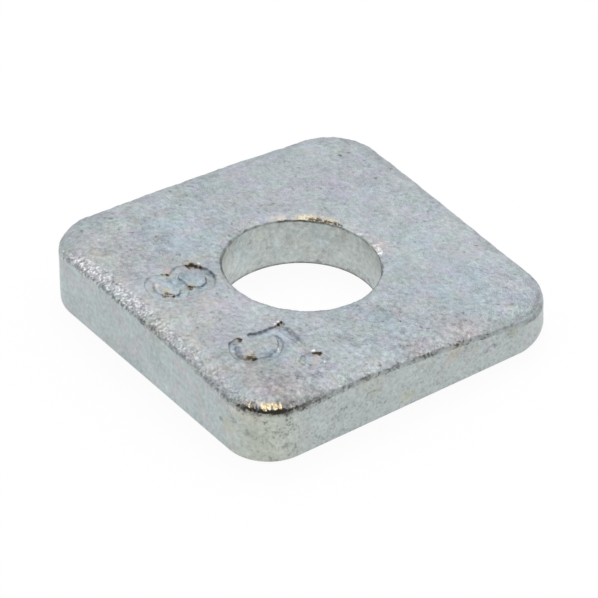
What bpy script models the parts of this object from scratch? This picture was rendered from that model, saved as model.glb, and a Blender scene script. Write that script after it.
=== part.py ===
"""Square taper washer for an 8 mm bolt, as one solid.

The plate is thick along one side and thin along the opposite one. It lies on the sloped flange
of a steel channel and gives the head of the bolt a face square to its shank. It is blanked and
punched from rolled taper bar, so its top edges roll over, most of all round the corners, its
bottom edges are nearly sharp, and its hole is square to the sloping top face.

Metres, +Z up. The bottom face lies on Z = 0, with the origin at its middle. The thick side is at
-Y and the thin side at +Y.
"""

import math

import bmesh
import bpy

# Driving dimensions of the plate
SIDE = 0.0220
THIN_SIDE = 0.0025
TAPER = math.radians(5.0)
CORNER_RADIUS = 0.0031

# Edges: the top rolls over towards the die, the bottom keeps a small break
SIDE_ROLL = 0.00035
CORNER_ROLL = 0.00060
BOTTOM_BREAK = 0.00018

# Punched hole: a rolled rim, a clean shear land, then the torn lower wall, which opens out
HOLE_DIAMETER = 0.0094
RIM_ROLL = 0.00035
SHEAR_LAND = 0.0012
BREAKOUT = 0.00020

# The hole's cutter runs past both faces, and its rolled rim ends just above the top face
CUT_PAST = 0.0010
RIM_LIFT = 0.00002

# Facets
CORNER_STEPS = 12
SIDE_STEPS = 14
EDGE_STEPS = 4
HOLE_STEPS = 72
RIM_STEPS = 6
MERGE_DISTANCE = 1e-6
SHARP_ANGLE = math.radians(30.0)

# Zinc plate
ZINC_COLOUR = (0.56, 0.58, 0.57, 1.0)
ZINC_METALLIC = 0.85
ZINC_ROUGHNESS = 0.42


def clear_scene():
    """Removes every object that the file holds."""
    for item in list(bpy.data.objects):
        bpy.data.objects.remove(item)


def make_collection(name):
    """Adds a collection to the scene."""
    collection = bpy.data.collections.new(name)
    bpy.context.scene.collection.children.link(collection)
    return collection


def zinc_plate():
    """The dull, pale coat of plated steel."""
    material = bpy.data.materials.new("zinc_plate")
    material.use_nodes = True
    shader = material.node_tree.nodes["Principled BSDF"]
    shader.inputs["Base Color"].default_value = ZINC_COLOUR
    shader.inputs["Metallic"].default_value = ZINC_METALLIC
    shader.inputs["Roughness"].default_value = ZINC_ROUGHNESS
    return material


def top_height(y):
    """Height of the sloping top face above the bottom face."""
    return THIN_SIDE + (SIDE / 2 - y) * math.tan(TAPER)


def roll_width(point):
    """How far the top edge rolls over: least in the middle of a side, most round a corner."""
    straight_half = SIDE / 2 - CORNER_RADIUS
    along = min(abs(point.x), abs(point.y), straight_half) / straight_half
    share = (along * along * (3.0 - 2.0 * along)) ** 2
    return SIDE_ROLL + (CORNER_ROLL - SIDE_ROLL) * share


def widest_edge():
    """The widest rounding, which the other edges' weights are measured against."""
    return max(SIDE_ROLL, CORNER_ROLL, BOTTOM_BREAK)


def plate_mesh():
    """The blank: a box with rounded corners and a sloping top, its outline edges weighted."""
    blank_height = top_height(-SIDE / 2)
    bm = bmesh.new()
    bmesh.ops.create_cube(bm, size=1.0)
    bmesh.ops.scale(bm, vec=(SIDE, SIDE, blank_height), verts=bm.verts)
    bmesh.ops.translate(bm, vec=(0.0, 0.0, blank_height / 2), verts=bm.verts)

    uprights = [e for e in bm.edges if e.verts[0].co.xy == e.verts[1].co.xy]
    bmesh.ops.bevel(
        bm, geom=uprights, affect="EDGES", offset=CORNER_RADIUS, segments=CORNER_STEPS, profile=0.5
    )

    # Short edges along each side let the roll widen towards the corners
    longest_chord = CORNER_RADIUS / 2
    outline = [e for e in bm.edges if e.verts[0].co.z == e.verts[1].co.z]
    sides = [e for e in outline if e.calc_length() > longest_chord]
    bmesh.ops.subdivide_edges(bm, edges=sides, cuts=SIDE_STEPS - 1, use_grid_fill=True)

    top_verts = {v for v in bm.verts if v.co.z > blank_height / 2}
    for vert in top_verts:
        vert.co.z = top_height(vert.co.y)

    weight = bm.edges.layers.float.new("bevel_weight_edge")
    for edge in bm.edges:
        ends_on_top = [vert in top_verts for vert in edge.verts]
        if all(ends_on_top):
            edge[weight] = max(roll_width(vert.co) for vert in edge.verts) / widest_edge()
        elif not any(ends_on_top):
            edge[weight] = BOTTOM_BREAK / widest_edge()

    mesh = bpy.data.meshes.new("taper_washer")
    bm.to_mesh(mesh)
    bm.free()
    return mesh


def hole_profile():
    """Half section of the punched hole, from the axis above the top face to the axis below."""
    wall = HOLE_DIAMETER / 2
    centre_thickness = top_height(0.0)
    depth = top_height(-SIDE / 2) + CUT_PAST
    opening = BREAKOUT * (depth - SHEAR_LAND) / (centre_thickness - SHEAR_LAND)
    points = [(0.0, CUT_PAST), (wall + RIM_ROLL, CUT_PAST)]
    for step in range(RIM_STEPS + 1):
        angle = math.pi / 2 * (1.0 - step / RIM_STEPS)
        radius = wall + RIM_ROLL * (1.0 - math.cos(angle))
        height = RIM_LIFT + RIM_ROLL * (math.sin(angle) - 1.0)
        points.append((radius, height))
    points.append((wall, -SHEAR_LAND))
    points.append((wall + opening, -depth))
    points.append((0.0, -depth))
    return points


def make_hole_cutter(collection):
    """The punch: the hole's section turned about an axis square to the top face."""
    points = hole_profile()
    mesh = bpy.data.meshes.new("hole_cutter")
    verts = [(radius, 0.0, height) for radius, height in points]
    edges = [(index, index + 1) for index in range(len(points) - 1)]
    mesh.from_pydata(verts, edges, [])
    cutter = bpy.data.objects.new("hole_cutter", mesh)
    cutter.location = (0.0, 0.0, top_height(0.0))
    cutter.rotation_euler = (-TAPER, 0.0, 0.0)
    cutter.hide_render = True
    cutter.display_type = "WIRE"
    collection.objects.link(cutter)

    turn = cutter.modifiers.new("turn", "SCREW")
    turn.axis = "Z"
    turn.steps = HOLE_STEPS
    turn.render_steps = HOLE_STEPS
    turn.use_merge_vertices = True
    turn.merge_threshold = MERGE_DISTANCE
    return cutter


def make_washer(collection, cutter):
    """The washer: the blank with its edges rounded and the hole punched through it."""
    mesh = plate_mesh()
    washer = bpy.data.objects.new("taper_washer", mesh)
    washer.data.materials.append(zinc_plate())
    collection.objects.link(washer)

    edges = washer.modifiers.new("rolled_edges", "BEVEL")
    edges.limit_method = "WEIGHT"
    edges.width = widest_edge()
    edges.segments = EDGE_STEPS
    edges.use_clamp_overlap = False

    hole = washer.modifiers.new("punched_hole", "BOOLEAN")
    hole.operation = "DIFFERENCE"
    hole.solver = "EXACT"
    hole.object = cutter

    mesh.shade_smooth()
    mesh.set_sharp_from_angle(angle=SHARP_ANGLE)
    return washer


def main():
    clear_scene()
    washer_parts = make_collection("taper_washer")
    cutters = make_collection("cutters")
    cutter = make_hole_cutter(cutters)
    make_washer(washer_parts, cutter)
    bpy.context.view_layer.update()


main()
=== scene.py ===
"""The looks of a square taper washer: a blanked, punched and stamped plate with a dull zinc coat.

The plate's surface is one closed sheet of quads that runs up the punched hole, across the top face,
over the rolled edge, down the sides and back under the plate. A first node tree lays that sheet out.
A second one sinks the struck figures and gives the plate its grain.
"""

import math

import bmesh
import bpy
from mathutils import Matrix, Vector
from mathutils.kdtree import KDTree


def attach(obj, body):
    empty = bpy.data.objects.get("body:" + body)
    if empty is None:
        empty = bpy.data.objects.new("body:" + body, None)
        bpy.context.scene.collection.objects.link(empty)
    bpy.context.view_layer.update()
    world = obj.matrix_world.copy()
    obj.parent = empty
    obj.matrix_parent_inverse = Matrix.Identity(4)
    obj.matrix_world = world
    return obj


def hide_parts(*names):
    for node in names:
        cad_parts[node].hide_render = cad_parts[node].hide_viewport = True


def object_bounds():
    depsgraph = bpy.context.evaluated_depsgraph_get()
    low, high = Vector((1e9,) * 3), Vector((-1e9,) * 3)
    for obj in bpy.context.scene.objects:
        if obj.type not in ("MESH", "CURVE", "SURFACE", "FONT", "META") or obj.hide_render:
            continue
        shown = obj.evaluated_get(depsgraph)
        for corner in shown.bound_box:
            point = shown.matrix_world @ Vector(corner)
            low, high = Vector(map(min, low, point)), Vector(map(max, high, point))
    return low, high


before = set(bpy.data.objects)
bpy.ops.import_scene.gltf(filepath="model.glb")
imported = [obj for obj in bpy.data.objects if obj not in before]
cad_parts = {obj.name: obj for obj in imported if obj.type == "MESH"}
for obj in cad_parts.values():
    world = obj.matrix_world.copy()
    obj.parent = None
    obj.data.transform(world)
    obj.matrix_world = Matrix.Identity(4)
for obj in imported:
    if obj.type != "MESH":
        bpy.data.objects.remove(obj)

CAD_LOW, CAD_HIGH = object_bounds()
MM = 0.001

# The plate, as it was blanked from taper bar
SIDE = CAD_HIGH.x - CAD_LOW.x
THIN_SIDE = 2.5 * MM
TAPER = math.radians(5.0)
BOTTOM_BREAK = 0.16 * MM

# The rolled top edge is a shallow crown that ends in a tight fillet. This is how far the crown
# drops at the start, middle and end of each side, going round from the near corner by way of the
# right side. The fillet grows with it.
EDGE_DROPS = {
    "Right": (0.52 * MM, 0.23 * MM, 0.42 * MM),
    "Thin": (0.09 * MM, 0.07 * MM, 0.13 * MM),
    "Left": (0.20 * MM, 0.11 * MM, 0.21 * MM),
    "Thick": (0.34 * MM, 0.24 * MM, 0.56 * MM),
}

# The corners, in the same order: radius, how much further the crown drops there, and bottom rounding
CORNERS = {
    "Right": (3.05 * MM, 0.06 * MM, 0.56 * MM),
    "Back": (3.10 * MM, 0.0, 0.16 * MM),
    "Left": (2.85 * MM, 0.30 * MM, 0.20 * MM),
    "Near": (2.90 * MM, 0.0, 0.16 * MM),
}
CROWN_BASE_WIDTH = 0.55 * MM
CROWN_WIDTH_PER_DROP = 2.6
FILLET_BASE = 0.12 * MM
FILLET_PER_DROP = 0.45
EDGE_WANDER = 0.05 * MM

# The punched hole. Its middle is a little off the plate's.
HOLE_RADIUS = 4.68 * MM
HOLE_SHIFT = (-0.04 * MM, 0.09 * MM)
RIM_DROP = 0.06 * MM
RIM_WIDTH = 0.40 * MM
RIM_FILLET = 0.09 * MM
BREAKOUT = 0.17 * MM

# Quads round the plate, and rows along its section
AROUND = 560
CROWD_TOWARDS = math.radians(-35.0)
CROWDING = 0.35
WALL_ROWS = 18
RIM_FILLET_ROWS = 3
RIM_CROWN_ROWS = 4
TOP_ROWS = 50
CROWN_ROWS = 12
FILLET_ROWS = 6
SIDE_ROWS = 24
BREAK_ROWS = 3
BOTTOM_ROWS = 8

# Struck figures, read from the thick side: how deep, and how wide their walls are
FIGURE_DEPTH = 0.11 * MM
WALL_RUN = 0.085 * MM

# Painted shade: dark reflections of the light tent's mouth on the figures' walls that face it: x, y and radius in mm,
# and how much
DARK_REFLECTION_SPOTS = (
    (-3.36, -5.72, 0.30, 0.8), (-3.36, -5.45, 0.38, 1.0), (-3.14, -5.32, 0.34, 1.0),
    (-2.92, -5.20, 0.34, 0.9), (-1.48, -6.85, 0.38, 0.85), (-1.40, -6.60, 0.30, 0.5),
    (-3.15, -7.26, 0.40, 0.55), (-3.45, -7.50, 0.30, 0.35), (-1.60, -8.36, 0.42, 0.90),
    (-1.32, -8.20, 0.34, 0.75), (-1.55, -8.62, 0.30, 0.6), (-2.02, -8.40, 0.36, 0.40),
    (4.14, -4.42, 0.22, 0.8), (4.26, -4.62, 0.28, 1.0), (4.36, -4.88, 0.26, 0.7),
    (6.10, -7.68, 0.32, 0.70), (6.32, -7.84, 0.36, 1.0), (6.08, -8.05, 0.40, 1.0),
    (6.18, -8.30, 0.30, 0.7), (6.14, -7.84, 0.34, 1.0), (5.90, -7.80, 0.28, 0.6), (7.74, -4.54, 0.32, 0.85),
    (7.92, -4.36, 0.32, 1.0), (4.38, -7.48, 0.36, 1.0),
)

# Weaker painted shade, slate grey: the walls that half face the mouth
HALF_DARK_REFLECTION_SPOTS = (
    (-2.60, -4.96, 0.45, 0.9), (-2.15, -4.92, 0.45, 0.7), (-1.80, -4.90, 0.30, 1.0),
    (-2.10, -6.98, 0.50, 0.7), (-2.60, -6.90, 0.40, 0.5), (-3.10, -6.78, 0.40, 0.8),
    (-3.42, -6.42, 0.40, 0.8), (-1.42, -6.00, 0.55, 0.7), (-1.22, -7.80, 0.60, 0.7),
    (-2.60, -8.60, 0.40, 0.6), (-2.85, -8.95, 0.40, 0.4),
    (4.36, -5.20, 0.40, 0.9), (4.36, -5.60, 0.36, 0.8), (4.36, -6.00, 0.40, 0.9),
    (4.34, -6.40, 0.40, 1.0), (4.20, -6.62, 0.32, 1.0), (4.90, -4.52, 0.50, 0.6),
    (5.25, -4.52, 0.55, 0.7), (5.65, -4.52, 0.55, 0.6), (6.05, -4.50, 0.50, 0.5),
    (6.45, -4.50, 0.40, 0.3), (6.45, -6.90, 0.55, 0.8), (5.30, -8.35, 0.55, 0.9),
    (5.90, -8.55, 0.40, 0.6), (4.70, -7.90, 0.40, 0.6), (4.30, -8.20, 0.55, 0.7),
    (4.85, -8.70, 0.50, 0.7), (5.35, -5.35, 0.50, 0.4), (6.35, -6.05, 0.50, 0.5),
    (7.70, -5.20, 0.50, 0.8), (8.10, -5.70, 0.45, 0.7), (8.50, -4.30, 0.40, 0.6),
)

# Painted reflections round the figures: brassy fringes from the warm lamp, pink highlights and pale blue sheens: x, y
# and radius in mm, and how much
GOLD_REFLECTION_SPOTS = (
    (-3.58, -5.45, 0.45, 0.9), (-3.00, -5.62, 0.40, 0.7), (-1.72, -6.58, 0.50, 0.9),
    (-1.28, -6.70, 0.35, 0.6), (-1.95, -8.22, 0.55, 1.0), (-1.30, -8.48, 0.35, 0.6),
    (5.80, -7.78, 0.50, 1.0), (6.30, -8.30, 0.45, 0.9), (4.08, -4.70, 0.30, 0.7),
)
PINK_HIGHLIGHT_SPOTS = (
    (-3.55, -7.02, 0.60, 1.0), (8.15, -4.72, 0.45, 1.0), (8.45, -5.00, 0.45, 0.9),
    (8.75, -5.25, 0.35, 0.6), (5.95, -8.15, 0.50, 0.6), (5.70, -7.60, 0.40, 0.5),
)
SHEENS = (
    (5.25, -5.05, 0.90, 1.0), (4.66, -5.30, 0.60, 1.0), (4.66, -5.80, 0.60, 1.0),
    (4.66, -6.30, 0.50, 0.8), (6.35, -6.55, 0.70, 1.0), (-1.40, -6.10, 0.65, 1.0),
    (-1.25, -7.85, 0.70, 1.0), (4.95, -8.30, 0.80, 0.9), (-1.90, -8.80, 0.70, 0.7),
)

# Soft grey smudges beside them, mostly painted shade along the figures' walls
SMUDGES_AND_WALL_SHADE = (
    (4.92, -4.48, 0.40, 0.85), (5.28, -4.48, 0.44, 1.0), (5.68, -4.50, 0.44, 0.9),
    (6.08, -4.50, 0.40, 0.75), (6.45, -4.50, 0.32, 0.5), (9.60, -5.55, 0.55, 0.7),
    (-1.75, -4.92, 0.26, 0.9), (5.78, -8.42, 0.42, 0.95), (5.38, -8.28, 0.42, 1.0),
    (4.98, -8.12, 0.38, 0.9), (6.45, -6.82, 0.42, 1.0), (6.30, -6.48, 0.34, 0.9),
    (-1.55, -5.76, 0.28, 0.6), (-1.36, -6.05, 0.30, 0.7), (-1.26, -6.35, 0.26, 0.6),
    (-1.38, -7.58, 0.26, 0.6), (-1.20, -7.86, 0.30, 0.7), (7.70, -5.22, 0.26, 0.6),
    (7.92, -5.52, 0.28, 0.7), (8.24, -5.74, 0.26, 0.5),
)

# Painted white glints on the figures, and two beside the hole's rim: x, y and radius in mm, and how much
GLINTS = (
    (-3.26, -4.99, 0.24, 0.8), (-1.75, -5.18, 0.34, 0.5), (-2.62, -8.36, 0.26, 0.7),
    (-2.46, -8.50, 0.20, 0.6), (4.02, -4.52, 0.22, 0.9), (4.08, -4.78, 0.22, 0.9),
    (6.18, -6.08, 0.28, 0.7), (6.42, -6.20, 0.24, 0.6), (7.50, -4.48, 0.26, 0.9),
    (8.68, -4.55, 0.26, 0.7), (5.20, -8.42, 0.40, 0.4), (5.72, -7.66, 0.22, 0.5),
    (1.00, 4.92, 0.34, 0.60), (1.42, 4.76, 0.34, 0.62),
)

# These become attributes of the plate's mesh: painted shade, reflections and glints, and a few smudges
PAINTED_LIGHT_AND_SMUDGE_PLACES = {
    "burns": DARK_REFLECTION_SPOTS, "dulled": HALF_DARK_REFLECTION_SPOTS, "smudges": SMUDGES_AND_WALL_SHADE, "stains": GOLD_REFLECTION_SPOTS, "blushes": PINK_HIGHLIGHT_SPOTS,
    "sheens": SHEENS, "glints": GLINTS,
}

# Knots of dark strokes on the right side's crease, and spots low on the hole's wall: x, y and
# radius in mm, and how much
TUFTS = (
    (10.3, -8.9, 0.8, 1.0), (10.6, -7.6, 0.9, 1.0), (10.6, -6.2, 0.8, 0.8), (10.6, -5.0, 0.7, 0.9),
    (10.6, -3.6, 0.6, 0.8), (10.5, -2.0, 0.8, 1.0), (10.6, 0.9, 0.7, 0.6),
    (10.5, 3.4, 0.9, 1.0), (10.7, 5.3, 0.8, 0.9), (10.7, 6.8, 0.6, 0.5),
)
WALL_SPOTS = (
    (-4.71, -0.33, 2.40, 0.24, 0.6), (-4.63, 0.84, 1.70, 0.22, 0.5), (0.29, 4.52, 0.30, 0.26, 0.9),
    (-1.58, 4.30, 0.15, 0.22, 0.7), (-4.60, 0.20, 0.12, 0.20, 0.7), (-3.10, 3.35, 0.12, 0.22, 0.6),
)

# The near corner is the one that the light tent's mouth faces. A surface that faces it leans by
# nothing across or up.
ACROSS_NEAR_CORNER = (0.570, 0.822, 0.0)
UP_FROM_NEAR_CORNER = (-0.499, 0.346, 0.795)
MOUTH_ACROSS = 0.62
MOUTH_UP = 0.54
SOFTBOX_DISTANCE = 0.8

# Tints of the coat, and where some of them spread: x and y in mm, radius in mm, tint, share
ZINC = (0.392, 0.432, 0.462, 1.0)
BLUE = (0.350, 0.430, 0.485, 1.0)
LILAC = (0.412, 0.396, 0.478, 1.0)
GREEN = (0.358, 0.446, 0.422, 1.0)
STRAW = (0.430, 0.410, 0.375, 1.0)
ROSE = (0.415, 0.372, 0.380, 1.0)
MAUVE = (0.350, 0.326, 0.348, 1.0)
SIDE_ZINC = (0.430, 0.494, 0.500, 1.0)
SIDE_GREY = (0.432, 0.464, 0.464, 1.0)
SIDE_ROSE = (0.462, 0.478, 0.496, 1.0)
SIDE_OLIVE = (0.420, 0.445, 0.385, 1.0)
SIDE_TAN = (0.455, 0.430, 0.370, 1.0)
# The hole's sheared wall: its own paler zinc, made paler still as painted light for the light that reaches into the
# hole
WALL_ZINC = (0.522, 0.572, 0.562, 1.0)
# Painted reflection of the warm lamp: brassy fringes round the figures' dark reflections
BRASSY_REFLECTION = (0.56, 0.50, 0.36, 1.0)
# The wall's warm and cool patches, made paler the same way
WALL_WARM = (0.545, 0.568, 0.535, 1.0)
WALL_COOL = (0.500, 0.572, 0.580, 1.0)
# Painted light: a pale blue reflection, a pink highlight, a golden glint and a white glint
SHEEN = (0.470, 0.560, 0.640, 1.0)
PINK_HIGHLIGHT = (0.540, 0.400, 0.380, 1.0)
PAINTED_GOLD_GLINT = (0.97, 0.81, 0.52, 1.0)
PAINTED_GLINT_WHITE = (0.93, 0.91, 0.90, 1.0)
# Painted shade: black for dark reflections, also used for hairlines and tufts; brown for their edges; slate for weaker
# ones, outlines and smudges; smoky grey for softer shade and dark lines and spots
SHADE_AND_HAIRLINE_BLACK = (0.030, 0.024, 0.014, 1.0)
BROWN = (0.190, 0.145, 0.095, 1.0)
SLATE = (0.110, 0.135, 0.160, 1.0)
SMOKY = (0.120, 0.125, 0.120, 1.0)
TINT_SPOTS = (
    (-6.5, -3.6, 4.0, BLUE, 0.8), (-7.6, -6.0, 2.2, BLUE, 0.5), (6.2, -6.0, 2.6, BLUE, 0.85),
    (6.5, 6.5, 5.0, BLUE, 0.8), (7.5, 0.0, 4.0, BLUE, 0.7), (1.5, 7.5, 2.5, BLUE, 0.5),
    (-6.0, 7.0, 3.0, LILAC, 0.6), (1.0, -5.8, 2.0, LILAC, 0.5),
    (9.8, -8.2, 3.0, ROSE, 0.6), (9.4, -8.8, 1.7, MAUVE, 0.75), (-2.2, -6.8, 3.0, BLUE, 1.0),
    (0.4, 5.0, 1.5, ROSE, 0.9), (10.3, 4.2, 2.2, ROSE, 0.7), (10.4, 1.0, 1.6, ROSE, 0.6),
    (1.0, -9.0, 3.5, STRAW, 0.6), (-7.0, -9.0, 3.0, STRAW, 0.6), (1.0, -6.8, 1.4, ROSE, 0.5),
)
SIDE_STAINS = (
    (11.0, 3.1, 2.45, 0.80, SIDE_TAN, 0.55), (11.0, 5.5, 1.50, 0.60, SIDE_ROSE, 0.9),
    (11.0, 7.2, 1.80, 0.55, SIDE_OLIVE, 0.7), (11.0, 4.5, 1.90, 0.45, SIDE_TAN, 0.5),
    (11.0, -0.3, 0.80, 0.60, SIDE_OLIVE, 0.8), (11.0, -2.7, 2.10, 0.45, SIDE_OLIVE, 0.5),
    (11.0, -3.0, 3.10, 1.20, SIDE_OLIVE, 0.4), (8.0, -11.0, 1.90, 0.70, SIDE_OLIVE, 0.9),
    (11.0, 1.0, 2.60, 0.90, SIDE_OLIVE, 0.2), (9.6, -10.6, 3.60, 1.10, SIDE_TAN, 0.5),
)

# Camera, from the photograph
CAMERA_AZIMUTH = math.radians(55.23)
CAMERA_ELEVATION = math.radians(37.37)
CAMERA_ROLL = math.radians(-1.42)
CAMERA_DISTANCE = 485.7 * MM
CAMERA_LENS = 498.7
AIM_RIGHT = -0.14 * MM
AIM_UP = -0.64 * MM


class Field:
    """A number that varies over a surface. Sums and products of fields add nodes to their tree."""

    def __init__(self, tree, socket):
        self.tree = tree
        self.socket = socket

    def math(self, operation, *others):
        node = self.tree.nodes.new("ShaderNodeMath")
        node.operation = operation
        for slot, value in zip(node.inputs, (self, *others)):
            plug(slot, value)
        return Field(self.tree, node.outputs[0])

    def __add__(self, other):
        return self.math("ADD", other)

    __radd__ = __add__

    def __mul__(self, other):
        return self.math("MULTIPLY", other)

    __rmul__ = __mul__

    def __sub__(self, other):
        return self.math("SUBTRACT", other)

    def __rsub__(self, other):
        return self.math("MULTIPLY_ADD", -1.0, other)

    def __truediv__(self, other):
        return self.math("DIVIDE", other)

    def clamp(self, low=0.0, high=1.0):
        node = self.tree.nodes.new("ShaderNodeClamp")
        plug(node.inputs["Value"], self)
        plug(node.inputs["Min"], low)
        plug(node.inputs["Max"], high)
        return Field(self.tree, node.outputs[0])

    def ramp(self, start, end, low=0.0, high=1.0):
        """Goes smoothly from low to high as this field goes from start to end."""
        node = self.tree.nodes.new("ShaderNodeMapRange")
        node.interpolation_type = "SMOOTHSTEP"
        values = (self, start, end, low, high)
        for name, value in zip(("Value", "From Min", "From Max", "To Min", "To Max"), values):
            plug(node.inputs[name], value)
        return Field(self.tree, node.outputs[0])


def plug(slot, value):
    """Joins a field to a node's input, or sets the input to a plain value."""
    if isinstance(value, Field):
        value.tree.links.new(value.socket, slot)
    else:
        slot.default_value = value


def add_node(tree, kind, settings=None, **inputs):
    """Adds a node, sets its properties, and plugs its inputs by name, with _ for a space."""
    node = tree.nodes.new(kind)
    for name, value in (settings or {}).items():
        setattr(node, name, value)
    for name, value in inputs.items():
        plug(node.inputs[name.replace("_", " ")], value)
    return node


def out(node, name=0):
    """One output of a node as a field."""
    return Field(node.id_data, node.outputs[name])


def combine(tree, x, y, z):
    return out(add_node(tree, "ShaderNodeCombineXYZ", X=x, Y=y, Z=z))


def separate(tree, vector):
    node = add_node(tree, "ShaderNodeSeparateXYZ", Vector=vector)
    return out(node, "X"), out(node, "Y"), out(node, "Z")


def scaled(tree, vector, factor):
    """A vector times a number."""
    node = tree.nodes.new("ShaderNodeVectorMath")
    node.operation = "SCALE"
    plug(node.inputs[0], vector)
    plug(node.inputs["Scale"], factor)
    return out(node)


def noise(tree, vector, size, detail=2.0, roughness=0.5, seed=0.0):
    """Smooth noise, mostly from -1 to 1, with lumps of about this size."""
    settings = {"noise_dimensions": "4D"}
    node = add_node(tree, "ShaderNodeTexNoise", settings, Vector=vector, W=seed,
                    Scale=1.0 / size, Detail=detail, Roughness=roughness)
    return (out(node, "Fac") - 0.5) * 4.0


def spot(tree, plan, x, y, radius):
    """1 at a place on the plate, fading to 0 a radius away."""
    away = add_node(tree, "ShaderNodeVectorMath", {"operation": "DISTANCE"})
    plug(away.inputs[0], plan)
    away.inputs[1].default_value = (x * MM, y * MM, 0.0)
    return out(away, "Value").ramp(radius * MM, 0.0)


def strongest_spot(tree, plan, spots):
    """The largest share that any of the spots has here."""
    most = 0.0
    for x, y, radius, share in spots:
        most = (spot(tree, plan, x, y, radius) * share).math("MAXIMUM", most)
    return most


def new_tree(name, numbers, others=()):
    """A geometry node tree with named inputs, and the modifier values that they take."""
    tree = bpy.data.node_groups.new(name, "GeometryNodeTree")
    tree.interface.new_socket("Geometry", in_out="INPUT", socket_type="NodeSocketGeometry")
    tree.interface.new_socket("Geometry", in_out="OUTPUT", socket_type="NodeSocketGeometry")
    values = {}
    for label, value in numbers.items():
        kind = "NodeSocketInt" if isinstance(value, int) else "NodeSocketFloat"
        values[tree.interface.new_socket(label, in_out="INPUT", socket_type=kind).identifier] = value
    for label, kind, value in others:
        values[tree.interface.new_socket(label, in_out="INPUT", socket_type=kind).identifier] = value
    return tree, tree.nodes.new("NodeGroupInput"), tree.nodes.new("NodeGroupOutput"), values


def grown(piece, tree, values):
    """Runs a tree on an object and keeps the result as its plain mesh."""
    modifier = piece.modifiers.new(tree.name, "NODES")
    modifier.node_group = tree
    for identifier, value in values.items():
        modifier[identifier] = value
    depsgraph = bpy.context.evaluated_depsgraph_get()
    mesh = bpy.data.meshes.new_from_object(piece.evaluated_get(depsgraph))
    piece.modifiers.remove(modifier)
    piece.data = mesh
    return piece


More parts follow.
